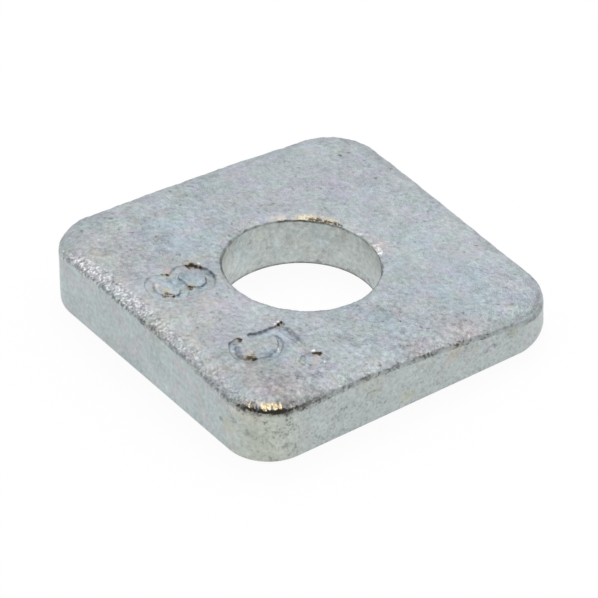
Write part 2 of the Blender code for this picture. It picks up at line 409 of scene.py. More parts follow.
def washer_form(material):
    """The tree that lays out the plate's surface and keeps each zone's share as an attribute."""
    tree, given, result, values = new_tree("washer_form", {
        "Side": SIDE, "Thin Side": THIN_SIDE, "Slope": math.tan(TAPER),
        "Bottom Break": BOTTOM_BREAK, "Edge Wander": EDGE_WANDER, "Hole Radius": HOLE_RADIUS,
        "Rim Drop": RIM_DROP, "Rim Width": RIM_WIDTH, "Rim Fillet": RIM_FILLET,
        "Breakout": BREAKOUT, "Around": AROUND,
    } | {f"{side} {place}": drop for side, drops in EDGE_DROPS.items()
         for place, drop in zip(("Start", "Middle", "End"), drops)}
      | {f"{corner} {place}": number for corner, numbers in CORNERS.items()
         for place, number in zip(("Radius", "Drop", "Break"), numbers)},
        [("Material", "NodeSocketMaterial", material)])
    size = {socket.name: out(given, socket.name) for socket in given.outputs if socket.name}

    rows = (WALL_ROWS, RIM_FILLET_ROWS, RIM_CROWN_ROWS, TOP_ROWS, CROWN_ROWS, FILLET_ROWS,
            SIDE_ROWS, BREAK_ROWS, BOTTOM_ROWS)
    grid = add_node(tree, "GeometryNodeMeshGrid", Size_X=1.0, Size_Y=1.0,
                    Vertices_X=size["Around"] + 1, Vertices_Y=sum(rows) + 1)
    grid_x, grid_y, _ = separate(tree, out(tree.nodes.new("GeometryNodeInputPosition")))

    # How far a point is through each zone of the section, in order from the hole's lower rim
    row = (grid_y + 0.5) * sum(rows)
    shares = []
    first = 0
    for count in rows:
        shares.append(((row - first) / count).clamp())
        first += count
    in_wall, rim_fillet, rim_crown, in_top, in_crown, in_fillet, in_side, in_break, in_bottom = shares

    # The way round: columns crowd towards the near corner
    full_turn = 2.0 * math.pi
    quarter_turn = math.pi / 2
    lap = grid_x + 0.5
    crowd = ((lap * full_turn) - CROWD_TOWARDS).math("SINE") * (CROWDING / full_turn)
    lap = lap - crowd + 1.0
    hole_angle = lap * full_turn

    # The outline: each quarter is half a side, a corner and half the next side
    quarter = (lap * 4.0).math("FLOOR")
    index = quarter.math("MODULO", 4.0)
    sides = list(EDGE_DROPS)

    def pick(place, of=sides, ahead=0):
        """This quarter's value among the sides' or the corners' inputs."""
        picked = 0.0
        for number in range(4):
            name = f"{of[(number + ahead) % 4]} {place}"
            picked = index.math("COMPARE", float(number), 0.5) * size[name] + picked
        return picked

    corners = list(CORNERS)
    corner_radius = pick("Radius", corners)
    half_straight = size["Side"] * 0.5 - corner_radius
    arc = corner_radius * quarter_turn
    travel = (lap * 4.0).math("FRACT") * (half_straight * 2.0 + arc)
    first_run = travel.math("MINIMUM", half_straight)
    corner_angle = ((travel - half_straight) / corner_radius).clamp(0.0, quarter_turn)
    last_run = (travel - half_straight - arc).clamp(0.0, 1.0)
    normal_x = corner_angle.math("COSINE")
    normal_y = corner_angle.math("SINE")
    at_corner = (corner_angle * 2.0).math("SINE")

    # The crown's drop: from the middle of one side, round its corner, to the middle of the next
    this_middle = pick("Middle")
    next_start = pick("Start", ahead=1)
    before = this_middle + (pick("End") - this_middle) * (first_run / half_straight).ramp(0.35, 1.0)
    after = next_start + (pick("Middle", ahead=1) - next_start) * (last_run / half_straight).ramp(0.0, 0.65)
    crown_drop = before + (after - before) * (corner_angle / quarter_turn)
    crown_drop = crown_drop + pick("Drop", corners) * at_corner
    bottom_break = size["Bottom Break"] + (pick("Break", corners) - size["Bottom Break"]) * at_corner
    crown_width = crown_drop * CROWN_WIDTH_PER_DROP + CROWN_BASE_WIDTH
    fillet = crown_drop * FILLET_PER_DROP + FILLET_BASE

    crown_end = (crown_drop * 2.0 / crown_width).math("ARCTANGENT")
    fillet_angle = crown_end + (quarter_turn - crown_end) * in_fillet
    break_angle = in_break * quarter_turn
    inset = crown_width * (1.0 - in_crown) + fillet * (1.0 - fillet_angle.math("SINE"))
    inset = inset + bottom_break * (1.0 - break_angle.math("COSINE"))
    run_x = half_straight + (corner_radius - inset) * normal_x - last_run
    run_y = first_run + (corner_radius - inset) * normal_y
    turned = add_node(tree, "ShaderNodeVectorRotate", {"rotation_type": "Z_AXIS"},
                      Vector=combine(tree, run_x, run_y, 0.0), Angle=quarter * quarter_turn)
    outline_x, outline_y, _ = separate(tree, out(turned))
    wander = noise(tree, out(turned), 0.45 * MM, detail=3.0, roughness=0.7, seed=11.0)
    wander = wander * size["Edge Wander"] * in_crown * in_crown * (1.0 - in_side)
    drop = crown_drop * in_crown * in_crown + wander
    drop = drop + fillet * (crown_end.math("COSINE") - fillet_angle.math("COSINE"))

    # The hole: it opens out below the clean upper part of its wall
    rim_end = math.atan(2.0 * RIM_DROP / RIM_WIDTH)
    rim_angle = quarter_turn - rim_fillet * (quarter_turn - rim_end)
    torn = (1.0 - in_wall).math("MAXIMUM", in_side).ramp(0.35, 1.0)
    rolled_back = size["Rim Fillet"] * (1.0 - rim_angle.math("SINE")) + size["Rim Width"] * rim_crown
    hole_radius = size["Hole Radius"] + size["Breakout"] * torn + rolled_back * (1.0 - in_side)
    hole_x = hole_radius * hole_angle.math("COSINE") + HOLE_SHIFT[0]
    hole_y = hole_radius * hole_angle.math("SINE") * math.cos(TAPER) + HOLE_SHIFT[1]
    rim_drop = size["Rim Drop"] * (1.0 - rim_crown) * (1.0 - rim_crown)
    rim_drop = rim_drop + size["Rim Fillet"] * (math.cos(rim_end) - rim_angle.math("COSINE"))
    rim_wander = noise(tree, combine(tree, hole_x, hole_y, 0.0), 0.45 * MM, detail=3.0, seed=12.0)
    rim_drop = rim_drop + rim_wander * (1.0 - rim_crown) * (0.035 * MM)

    # Plan position and height
    outward = in_top - in_bottom
    plan_x = hole_x + (outline_x - hole_x) * outward
    plan_y = hole_y + (outline_y - hole_y) * outward
    top = size["Thin Side"] + (size["Side"] * 0.5 - plan_y) * size["Slope"]
    above = (top - rim_drop) * in_wall - drop
    below = bottom_break * (1.0 - break_angle.math("SINE"))
    height = above + (below - above) * in_side
    sunk = (top * (1.0 - in_wall) + top * in_side) * (1.0 - outward)
    place = combine(tree, plan_x, plan_y - sunk * size["Slope"], height)

    # Attributes: the share of each zone, and the way along the section from each edge
    far = 5.0 * MM
    past_fillet = (quarter_turn - fillet_angle) * fillet
    from_edge = (top - drop) * in_side - past_fillet - crown_width * (1.0 - in_crown)
    from_edge = from_edge - (1.0 - in_top) * far
    past_rim = rim_fillet * ((quarter_turn - rim_end) * RIM_FILLET)
    from_rim = top * (1.0 - in_wall) - past_rim - size["Rim Width"] * rim_crown - in_top * far
    closing = (in_bottom * BOTTOM_ROWS - (BOTTOM_ROWS - 1.0)).clamp()
    from_rim = from_rim + closing * (top - from_rim)
    shape = out(grid, "Mesh")
    zones = {
        "zone_wall": (1.0 - rim_fillet) * (1.0 - in_side) + closing,
        "zone_side": in_fillet * (1.0 - in_bottom * 8.0).clamp(),
        "zone_bottom": in_break,
        "from_edge": from_edge,
        "from_rim": from_rim,
        "from_foot": (top * in_wall + in_top * far) * (1.0 - in_bottom),
    }
    for name, share in zones.items():
        stored = add_node(tree, "GeometryNodeStoreNamedAttribute", {"data_type": "FLOAT"},
                          Geometry=shape, Name=name, Value=share)
        shape = out(stored, "Geometry")
    placed = add_node(tree, "GeometryNodeSetPosition", Geometry=shape, Position=place)
    merged = add_node(tree, "GeometryNodeMergeByDistance", Geometry=out(placed, "Geometry"),
                      Distance=1e-6)
    flipped = add_node(tree, "GeometryNodeFlipFaces", Mesh=out(merged, "Geometry"))
    finish_tree(tree, result, out(flipped, "Mesh"), size["Material"])
    return tree, values


def finish_tree(tree, result, shape, material):
    """Ends a tree with a real, smooth mesh that has its material."""
    smooth = add_node(tree, "GeometryNodeSetShadeSmooth", Geometry=shape)
    real = add_node(tree, "GeometryNodeRealizeInstances", Geometry=out(smooth, "Geometry"))
    coated = add_node(tree, "GeometryNodeSetMaterial", Geometry=out(real, "Geometry"),
                      Material=material)
    plug(result.inputs["Geometry"], out(coated, "Geometry"))


def top_height(y):
    """Height of the sloping top face."""
    return THIN_SIDE + (SIDE / 2 - y) * math.tan(TAPER)


def on_top(run):
    """Places on the sloping top face and half widths, from x, y and width in millimetres."""
    return [(Vector((x * MM, y * MM, top_height(y * MM))), width * MM / 2) for x, y, width in run]


def on_right_side(run):
    """Places on the right side and half widths, from y, height and width in millimetres."""
    return [(Vector((SIDE / 2, y * MM, z * MM)), width * MM / 2) for y, z, width in run]


def on_thick_side(run):
    """Places on the thick side and half widths, from x, height and width in millimetres."""
    return [(Vector((x * MM, -SIDE / 2, z * MM)), width * MM / 2) for x, z, width in run]


def loop_run(centre, radii, width, steps=48):
    """An ellipse: x, y and width of each point in millimetres."""
    run = []
    for step in range(steps + 1):
        angle = 2.0 * math.pi * step / steps
        x = centre[0] + radii[0] * math.cos(angle)
        y = centre[1] + radii[1] * math.sin(angle)
        run.append((x, y, width))
    return run


def smooth_run(handles, steps=8):
    """A smooth line through handles. Each of their numbers passes smoothly from one to the next."""
    ends = [handles[0], *handles, handles[-1]]
    run = []
    for four in zip(ends, ends[1:], ends[2:], ends[3:]):
        for step in range(steps):
            share = step / steps
            point = []
            for before, start, end, after in zip(*four):
                slope = (end - before) / 2
                next_slope = (after - start) / 2
                bend = 3 * (end - start) - 2 * slope - next_slope
                twist = 2 * (start - end) + slope + next_slope
                point.append(start + share * (slope + share * (bend + share * twist)))
            run.append(tuple(point))
    return run + [handles[-1]]


def stroke_object(name, strokes):
    """Wire lines along the middle of each stroke. Their points carry its half width and depth."""
    verts, edges, half_widths, depths = [], [], [], []
    for places, depth in strokes:
        start = len(verts)
        verts += [place for place, half_width in places]
        edges += [(start + step, start + step + 1) for step in range(len(places) - 1)]
        half_widths += [half_width for place, half_width in places]
        depths += [depth] * len(places)
    mesh = bpy.data.meshes.new(name)
    mesh.from_pydata(verts, edges, [])
    mesh.attributes.new("half_width", "FLOAT", "POINT").data.foreach_set("value", half_widths)
    mesh.attributes.new("depth", "FLOAT", "POINT").data.foreach_set("value", depths)
    wire = bpy.data.objects.new(name, mesh)
    bpy.context.scene.collection.objects.link(wire)
    return wire


def figure_strokes():
    """The figures 8 and 5 and the small ring that follows them: places and depth of each stroke."""
    bowl = smooth_run([
        (4.38, -7.60, 0.50), (4.55, -8.05, 0.50), (5.00, -8.42, 0.42), (5.55, -8.62, 0.38),
        (6.15, -8.48, 0.42), (6.60, -7.95, 0.50), (6.76, -7.20, 0.46), (6.64, -6.50, 0.42),
        (6.20, -5.92, 0.36), (5.65, -5.50, 0.30), (5.15, -5.44, 0.22),
    ])
    stem = smooth_run([
        (4.34, -4.42, 0.34), (4.46, -4.90, 0.38), (4.46, -5.60, 0.36), (4.46, -6.30, 0.38),
        (4.36, -6.62, 0.46),
    ], 12)
    return [
        (on_top(loop_run((-2.18, -6.20), (1.16, 1.04), 0.62)), FIGURE_DEPTH),
        (on_top(loop_run((-2.16, -8.02), (1.18, 0.98), 0.58)), FIGURE_DEPTH * 0.85),
        (on_top(stem), FIGURE_DEPTH * 1.05),
        (on_top(smooth_run([(4.62, -4.72, 0.50), (5.60, -4.70, 0.50), (6.60, -4.66, 0.36)], 16)),
         FIGURE_DEPTH * 0.65),
        (on_top(bowl), FIGURE_DEPTH * 0.85),
        (on_top(loop_run((8.30, -5.00), (0.62, 0.70), 0.38)), FIGURE_DEPTH * 0.60),
    ]


def side_marks():
    """Shallow oval knocks on the two sides that face the near corner: places and depth of each."""
    right = [
        ([(-3.05, 2.12, 0.40), (-2.40, 2.08, 0.40)], 0.06 * MM),
        ([(5.30, 1.48, 0.34), (5.90, 1.44, 0.34)], 0.05 * MM),
        ([(6.95, 1.80, 0.30), (7.35, 1.72, 0.30)], 0.05 * MM),
        ([(-5.05, 2.02, 0.24), (-4.80, 2.00, 0.24)], 0.04 * MM),
        ([(2.55, 2.25, 0.50), (3.75, 2.35, 0.50)], 0.03 * MM),
    ]
    thick = [([(7.38, 1.86, 0.16), (7.50, 1.96, 0.16)], 0.09 * MM)]
    marks = [(on_right_side(run), depth) for run, depth in right]
    return marks + [(on_thick_side(run), depth) for run, depth in thick]


def refine_walls(piece, strokes, reach, cuts):
    """Splits the quads at the strokes' walls, so that they can stand steep."""
    points = [place for places, depth in strokes for place in places]
    tree = KDTree(len(points))
    for index, (point, half_width) in enumerate(points):
        tree.insert(point, index)
    tree.balance()
    bm = bmesh.new()
    bm.from_mesh(piece.data)
    at_walls = set()
    for vert in bm.verts:
        _, index, away = tree.find(vert.co)
        if vert.normal.z > 0.9 and abs(away - points[index][1]) < reach:
            at_walls.add(vert)
    edges = [e for e in bm.edges if e.verts[0] in at_walls and e.verts[1] in at_walls]
    bmesh.ops.subdivide_edges(bm, edges=edges, cuts=cuts, use_grid_fill=True)
    bm.to_mesh(piece.data)
    bm.free()


def named_attribute(tree, name):
    node = add_node(tree, "GeometryNodeInputNamedAttribute", {"data_type": "FLOAT"}, Name=name)
    return out(node, "Attribute")


def along(tree, vector, direction):
    """How far a vector goes along a fixed direction."""
    node = tree.nodes.new("ShaderNodeVectorMath")
    node.operation = "DOT_PRODUCT"
    plug(node.inputs[0], vector)
    node.inputs[1].default_value = direction
    return out(node, "Value")


def struck_surface(material, wire):
    """The tree that sinks the strokes and marks into the plate and roughens its whole surface."""
    tree, given, result, values = new_tree("struck_surface", {
        "Wall Run": WALL_RUN, "Wave Height": 0.020 * MM, "Lump Height": 0.016 * MM,
        "Grain Height": 0.010 * MM, "Edge Grain": 0.032 * MM, "Seed": 3.0,
    }, [("Strokes", "NodeSocketObject", wire), ("Material", "NodeSocketMaterial", material)])
    size = {socket.name: out(given, socket.name) for socket in given.outputs if socket.name}
    position = out(tree.nodes.new("GeometryNodeInputPosition"))
    normal = out(tree.nodes.new("GeometryNodeInputNormal"))
    from_edge = named_attribute(tree, "from_edge")
    from_rim = named_attribute(tree, "from_rim")
    underside = named_attribute(tree, "zone_bottom")
    along_x, along_y, height = separate(tree, position)

    # Strokes and marks
    strokes = out(add_node(tree, "GeometryNodeObjectInfo", Object=size["Strokes"]), "Geometry")
    near = add_node(tree, "GeometryNodeProximity", {"target_element": "EDGES"})
    plug(near.inputs[0], strokes)
    nearest = add_node(tree, "GeometryNodeSampleNearest", Geometry=strokes)

    def of_stroke(name):
        node = add_node(tree, "GeometryNodeSampleIndex", {"data_type": "FLOAT"},
                        Geometry=strokes, Index=out(nearest, "Index"))
        plug(node.inputs["Value"], named_attribute(tree, name))
        return out(node, "Value")

    half_width = of_stroke("half_width")
    ragged = noise(tree, position, 0.30 * MM, detail=4.0, roughness=0.7, seed=1.0) * (0.070 * MM)
    away = out(near, "Distance") + ragged
    run = size["Wall Run"]
    sunk = away.ramp(half_width - run, half_width + run * 0.25, 1.0, 0.0)
    lip = away.ramp(half_width + run * 0.2, half_width + run * 1.6, 1.0, 0.0) * (1.0 - sunk)
    uneven = (noise(tree, position, 0.9 * MM, detail=1.0, seed=2.0) * 0.55 + 0.95).clamp(0.3, 1.5)
    depth = (sunk * uneven - lip * 0.10) * of_stroke("depth")
    struck = add_node(tree, "GeometryNodeSetPosition", Geometry=size["Geometry"],
                      Offset=scaled(tree, normal, depth * -1.0))

    # Waves, lumps and grain, with a rough band along the rolled edge of the thick side
    seed = size["Seed"]
    waves = noise(tree, position, 4.0 * MM, detail=1.0, seed=seed) * size["Wave Height"]
    lumps = noise(tree, position, 1.1 * MM, detail=3.0, roughness=0.6, seed=seed)
    grain = noise(tree, position, 0.24 * MM, detail=3.0, roughness=0.6, seed=seed)
    band_width = along_x.ramp(-10.5 * MM, -6.0 * MM) * (1.0 * MM) + 0.6 * MM
    on_edge = (from_edge + band_width).ramp(0.0, 1.0 * MM) * from_edge.ramp(0.0, 0.15 * MM, 1.0, 0.0)
    left_corner = along_x.ramp(-8.5 * MM, -10.4 * MM) * (0.8 * MM)
    on_thick = (along_y - left_corner).ramp(-9.0 * MM, -10.2 * MM)
    on_rim = from_rim.ramp(-0.5 * MM, 0.0) * from_rim.ramp(0.0, 0.15 * MM, 1.0, 0.0)
    roughened = on_edge * (on_thick * 0.8 + 0.2) + on_rim * 0.4
    grain = grain * (size["Grain Height"] + roughened * size["Edge Grain"])
    relief = waves + lumps * size["Lump Height"] + grain
    relief = relief * (1.0 - underside) * height.ramp(0.05 * MM, 0.4 * MM)
    grained = add_node(tree, "GeometryNodeSetPosition", Geometry=out(struck, "Geometry"),
                       Offset=scaled(tree, normal, relief))

    # How the finished surface leans, across the near corner and up from facing it
    shape = out(grained, "Geometry")
    leans = {
        "lean_across": along(tree, normal, ACROSS_NEAR_CORNER),
        "lean_up": along(tree, normal, UP_FROM_NEAR_CORNER),
        "struck": away.ramp(half_width + run, half_width + run * 3.0, 1.0, 0.0),
        # Where painted shade outlines the walls of the figures and knocks
        "outline": (away - half_width + run * 0.4).math("ABSOLUTE").ramp(run * 1.1, run * 0.3),
        "rough_band": on_edge * on_thick,
    }
    along_plan = combine(tree, along_x, along_y, 0.0)
    # Spots of painted shade, reflections and glints, and a few smudges
    for name, spots in PAINTED_LIGHT_AND_SMUDGE_PLACES.items():
        leans[name] = strongest_spot(tree, along_plan, spots) * (1.0 - underside)
    for name, share in leans.items():
        stored = add_node(tree, "GeometryNodeStoreNamedAttribute", {"data_type": "FLOAT"},
                          Geometry=shape, Name=name, Value=share)
        shape = out(stored, "Geometry")
    finish_tree(tree, result, shape, size["Material"])
    return tree, values


def zinc_plate():
    """Dull zinc: patches of blue, lilac, green and straw, specks and grains, with painted shade on steep creases and
    walls and painted gold and white glints.
    """
    material = bpy.data.materials.new("zinc_plate")
    material.use_nodes = True
    tree = material.node_tree
    shader = tree.nodes["Principled BSDF"]
    place = out(tree.nodes.new("ShaderNodeTexCoord"), "Object")
    place_x, place_y, place_z = separate(tree, place)
    plan = combine(tree, place_x, place_y, 0.0)

    def attribute(name):
        return out(add_node(tree, "ShaderNodeAttribute", {"attribute_name": name}), "Fac")

    def tint(under, over, share):
        node = add_node(tree, "ShaderNodeMix", {"data_type": "RGBA"})
        plug(node.inputs["Factor"], share)
        plug(node.inputs[6], under)
        plug(node.inputs[7], over)
        return out(node, 2)

    def patches(size, low, high, seed):
        return noise(tree, place, size, detail=2.0, roughness=0.5, seed=seed).ramp(low, high)

    def near(x, y, radius):
        return spot(tree, plan, x, y, radius)

    def strongest(spots):
        return strongest_spot(tree, plan, spots)

    def stain(x, y, z, radius):
        """1 at a place in the plate, fading to 0 a radius away, with a ragged edge."""
        away = add_node(tree, "ShaderNodeVectorMath", {"operation": "DISTANCE"})
        plug(away.inputs[0], place)
        away.inputs[1].default_value = (x * MM, y * MM, z * MM)
        edge = out(away, "Value") + jagged * (0.20 * MM) + blotched * (0.30 * MM)
        return edge.ramp(radius * 1.1 * MM, radius * 0.4 * MM)

    def ragged(share, amount):
        """A share with noise added wherever it isn't 0."""
        return share + (jagged * amount + granular * (amount * 0.3)) * share.ramp(0.0, 0.3)

    jagged = noise(tree, place, 0.20 * MM, detail=4.0, roughness=0.8, seed=9.0)
    blotched = noise(tree, place, 0.60 * MM, detail=3.0, roughness=0.7, seed=13.0)
    side = attribute("zone_side")
    wall = attribute("zone_wall")
    from_edge = attribute("from_edge")
    from_rim = attribute("from_rim")
    from_foot = attribute("from_foot")
    across = attribute("lean_across")
    upward = attribute("lean_up")
    granular = noise(tree, place, 0.17 * MM, detail=1.0, seed=17.0)

    # Broad tints
    colour = ZINC
    for x, y, radius, over, share in TINT_SPOTS:
        colour = tint(colour, over, near(x, y, radius) * share)
    colour = tint(colour, BLUE, patches(2.6 * MM, 0.0, 0.6, 1.0) * 0.35)
    thickward = place_y.ramp(4.0 * MM, -8.0 * MM)
    colour = tint(colour, LILAC, patches(1.3 * MM, -0.1, 0.5, 2.0) * 0.5)
    colour = tint(colour, GREEN, patches(1.1 * MM, 0.0, 0.5, 3.0) * 0.4)
    colour = tint(colour, STRAW, patches(1.2 * MM, 0.0, 0.6, 4.0) * (thickward * 0.22 + 0.20))
    sides = tint(SIDE_ZINC, SIDE_ROSE, patches(1.2 * MM, 0.0, 0.6, 8.0) * 0.9)
    sides = tint(sides, SIDE_GREY, place_x.ramp(9.5 * MM, 10.8 * MM) * 0.5)
    olive = near(10.2, -10.0, 3.6) + patches(2.0 * MM, 0.3, 0.9, 14.0) * 0.35
    sides = tint(sides, SIDE_OLIVE, olive.clamp() * 0.85)
    for x, y, z, radius, over, share in SIDE_STAINS:
        sides = tint(sides, over, stain(x, y, z, radius) * share)
    colour = tint(colour, sides, side)
    walls = tint(WALL_ZINC, WALL_WARM, patches(1.6 * MM, 0.0, 0.7, 19.0) * 0.8)
    walls = tint(walls, WALL_COOL, patches(1.4 * MM, 0.0, 0.7, 20.0) * 0.8)
    colour = tint(colour, walls, wall)

    # Grain, dark specks and stains. The thick side and the sides are the roughest.
    coarse = noise(tree, place, 0.9 * MM, detail=2.0, roughness=0.7, seed=5.0)
    grain = noise(tree, place, 0.29 * MM, detail=3.0, roughness=0.68, seed=18.0)
    density = noise(tree, place, 2.2 * MM, detail=1.0, seed=15.0) * 0.18
    specks = (noise(tree, place, 0.28 * MM, detail=2.0, seed=6.4) + density).ramp(-0.40, -1.12)
    near_side = near(10.2, -10.2, 3.2).ramp(0.0, 0.5) * side
    stains = (noise(tree, place, 0.50 * MM, detail=3.0, roughness=0.7, seed=16.0) + density).ramp(-0.4, -1.1)
    rightward = near(7.5, 2.0, 8.0)
    edgeward = place_x.ramp(7.0 * MM, 10.0 * MM) * (1.0 - side)
    roughened = thickward * 0.25 + 1.0 + rightward * 0.25 + edgeward * 0.35
    broad = noise(tree, place, 2.6 * MM, detail=1.0, seed=23.0) * thickward
    right_side = side * place_x.ramp(9.5 * MM, 10.8 * MM)
    grains = coarse * (0.16 - side * 0.06) + grain * (0.27 - side * 0.08) + broad * 0.06
    grains = grains - specks * (0.48 - thickward * 0.12 - side * 0.30 - wall * 0.36) - stains * (0.20 - side * 0.14 - wall * 0.10)
    grains = grains - near_side * ((jagged * 0.6 + blotched * 0.8).ramp(-0.05, 0.55) * (from_edge.ramp(2.6 * MM, 0.3 * MM) * 0.26 + 0.16))
    grains = grains - right_side * ((granular * 0.7 + jagged * 0.6 + blotched * 0.4).ramp(0.0, 0.7) * 0.24)
    leftward = place_x.ramp(2.0 * MM, -6.0 * MM)
    dimmed = rightward * 0.10 + leftward * 0.065 + thickward * 0.02 + near(7.5, -7.5, 6.0) * 0.12 + near(9.5, -8.6, 1.8) * 0.09 + near(-2.2, -7.0, 2.2) * 0.03 + 0.03
    dimmed = dimmed * (1.0 - side) * (1.0 - wall) + wall * 0.07 + side * 0.01 - right_side * 0.06 - near_side * 0.10
    dimmed = dimmed + wall * place_y.ramp(1.0 * MM, 5.0 * MM) * 0.03
    level = grains * roughened + 1.06 - dimmed

    # Streaks that run up from the crease: on the right side, and at the near corner
    comb = noise(tree, combine(tree, place_x * 0.3, place_y, place_z * 0.3), 0.15 * MM, seed=21.0)
    level_right = place_x * ACROSS_NEAR_CORNER[0] + place_y * ACROSS_NEAR_CORNER[1]
    nearer = place_x * ACROSS_NEAR_CORNER[1] - place_y * ACROSS_NEAR_CORNER[0]
    near_comb = noise(tree, combine(tree, level_right, nearer * 0.3, place_z * 0.3), 0.16 * MM, seed=22.0)

    # Painted sparkle highlights on the rough band along the thick side and by the hole's right-back rim, between dull
    # gaps
    band = attribute("rough_band") * place_x.ramp(5.0 * MM, -5.0 * MM, 0.45, 1.0)
    ripple_place = combine(tree, place_x, place_y * 0.85, place_z * 0.85)
    ripple = noise(tree, ripple_place, 0.165 * MM, detail=4.0, roughness=0.75, seed=7.0)
    sparkle_rim = strongest(((-0.8, 4.8, 1.2, 0.30), (0.5, 5.0, 1.2, 0.40), (1.15, 4.8, 0.7, 1.0)))
    sparkle_rim = sparkle_rim.ramp(0.0, 0.5) * from_rim.ramp(-1.4 * MM, -0.3 * MM) * (1.0 - wall)
    rippled = band.math("MAXIMUM", sparkle_rim * 0.85)
    level = level - rippled * ripple.ramp(0.05, -0.6) * 0.24
    under_band = attribute("rough_band") * (from_edge + jagged * (0.08 * MM)).ramp(-0.40 * MM, -0.15 * MM)
    level = level - under_band * (ripple.ramp(0.5, -0.2) * 0.28)
    dull_band = attribute("rough_band") * near(0.5, -11.0, 5.0).ramp(0.0, 0.7)
    level = level - dull_band * ((jagged + blotched).ramp(-0.6, 0.8) * 0.38)
    colour = scaled(tree, colour, level.clamp(0.1, 1.9))
    # Painted white sparkle highlights
    colour = tint(colour, PAINTED_GLINT_WHITE, rippled * ripple.ramp(0.0, 0.48) * (0.92 - under_band * 0.5))

    # Painted shade: dark reflections of the tent's mouth where the surface turns steeply, at the near corner's crease
    # and the right side's, with a painted golden highlight above the near corner's line
    near_corner = (near(9.9, -10.6, 5.6) * 1.8).clamp()
    shifted = from_edge + jagged * (0.09 * MM) + granular * (0.02 * MM)
    near_edge = shifted.ramp(-0.9 * MM, -0.5 * MM) * shifted.ramp(0.25 * MM, 0.08 * MM)
    past_middle = across - 0.02
    lean = (past_middle * past_middle) * (1.0 / 0.46 ** 2) + (upward * upward) * (1.0 / 0.36 ** 2)
    lean = lean.math("SQRT") + jagged * 0.70 + blotched * 0.30 + granular * 0.30
    # Painted dark reflection at the near corner, with a softer painted shade round it
    corner_dark_reflection = lean.ramp(1.40, 0.85) * near_edge * near_corner
    corner_soft_shade = lean.ramp(2.1, 1.1) * near_edge * near_corner * (1.0 - attribute("rough_band") * 0.6)
    # Painted golden highlight just above it, where the surface faces the warm lamp
    too_high = upward - 0.42
    past_glint = across - 0.035
    glint_reach = (past_glint * past_glint) * (1.0 / 0.088 ** 2) + (too_high * too_high) * (1.0 / 0.21 ** 2)
    gold_glint = glint_reach.math("SQRT") + jagged * 0.28 + blotched * 0.20 - near_comb * 0.12
    gold_glint = gold_glint.ramp(1.50, 1.0) * near_edge * near(9.7, -10.4, 2.6).ramp(0.05, 0.3)
    dots = (jagged + granular * 0.4).ramp(0.36, 0.72) * from_edge.ramp(0.05 * MM, 0.20 * MM)
    dots = dots * from_edge.ramp(0.85 * MM, 0.35 * MM) * near(9.1, -10.8, 2.4).ramp(0.1, 0.6)

    right_run = place_x.ramp(9.9 * MM, 10.4 * MM) * place_y.ramp(-9.8 * MM, -8.6 * MM)
    uneven = from_edge + jagged * (0.12 * MM) + blotched * (0.04 * MM) + comb * (0.02 * MM)
    crease = uneven.ramp(-0.30 * MM, -0.18 * MM) * uneven.ramp(0.18 * MM, 0.07 * MM) * right_run
    broken = noise(tree, place, 0.55 * MM, detail=4.0, roughness=0.75, seed=24.0)
    broken = broken + place_y.ramp(8.0 * MM, 4.5 * MM, -0.8, 0.15)
    knots = strongest(TUFTS).ramp(0.1, 0.6)
    crumbs = (granular * 0.7 + jagged * 0.5).ramp(-0.45, 0.25)
    # Painted dark reflection along the crease, broken up and gathered into knots
    crease_dark_reflection = crease * crumbs * (broken.ramp(-0.15, 0.45) * 0.85 + knots * 0.4).clamp()
    tufts = (comb * 0.6 + jagged * 0.7).ramp(0.30, 0.65) * shifted.ramp(-0.60 * MM, -0.15 * MM)
    tufts = tufts * shifted.ramp(0.15 * MM, 0.0)
    tufts = tufts * knots
    # A softer painted shade along the crease
    soft_crease = crease * (blotched * 0.4 + 0.55).clamp()
    # Painted white sparkle highlights above the right side's crease
    above_crease = from_edge.ramp(-1.0 * MM, -0.35 * MM) * from_edge.ramp(-0.05 * MM, -0.20 * MM)
    above_crease = above_crease * right_run * place_y.ramp(7.0 * MM, 5.0 * MM)
    glint_flecks = (ripple * 0.8 + jagged * 0.4).ramp(0.15, 0.60) * above_crease

    # The hole's rims: painted shade along the upper rim, doubled on the left, a painted golden highlight on its back
    # part, and dark hairlines, a line at the foot and spots on the wall
    rim_shift = from_rim + jagged * (0.035 * MM) + blotched * (0.02 * MM)
    second_rim = (rim_shift - 0.24 * MM).math("ABSOLUTE").ramp(0.10 * MM, 0.04 * MM)
    rim_left = strongest(((-2.8, -3.8, 2.4, 1.0), (-4.3, -2.0, 2.0, 0.35), (2.8, 3.9, 1.4, 0.6)))
    rim_left = rim_left.ramp(0.05, 0.6)
    rim_dark_line = (rim_shift + rim_left * (0.07 * MM)).ramp(-0.14 * MM, -0.08 * MM)
    rim_dark_line = rim_dark_line * (rim_shift - rim_left * (0.17 * MM)).ramp(0.06 * MM, 0.01 * MM)
    rim_black = strongest(((-4.3, 1.9, 1.0, 0.8), (-3.7, 3.2, 1.5, 1.0), (-2.6, 4.2, 1.0, 0.7)))
    rim_dark = rim_dark_line * (blotched * 0.60 + jagged * 0.30 + 0.32 + rim_left * 0.35 + rim_black * 0.7).clamp()
    rim_dark = rim_dark.math("MAXIMUM", second_rim * rim_left * (blotched * 0.8 + 0.4).clamp() * 0.8)
    rim_gold_glint = strongest(((-4.62, 1.7, 0.9, 0.35), (-3.6, 3.2, 1.2, 1.0), (-2.8, 3.9, 1.1, 1.0)))
    rim_band = from_rim.ramp(-0.75 * MM, -0.40 * MM) * from_rim.ramp(-0.05 * MM, -0.14 * MM)
    rim_gold_glint = rim_gold_glint * rim_band * (jagged * 1.3 + granular * 0.8 + blotched * 0.5 + 0.85).clamp()
    hairs = strongest(((-3.3, 3.6, 0.9, 1.0), (-2.7, 4.05, 0.9, 1.0), (-2.15, 4.35, 0.3, 0.6)))
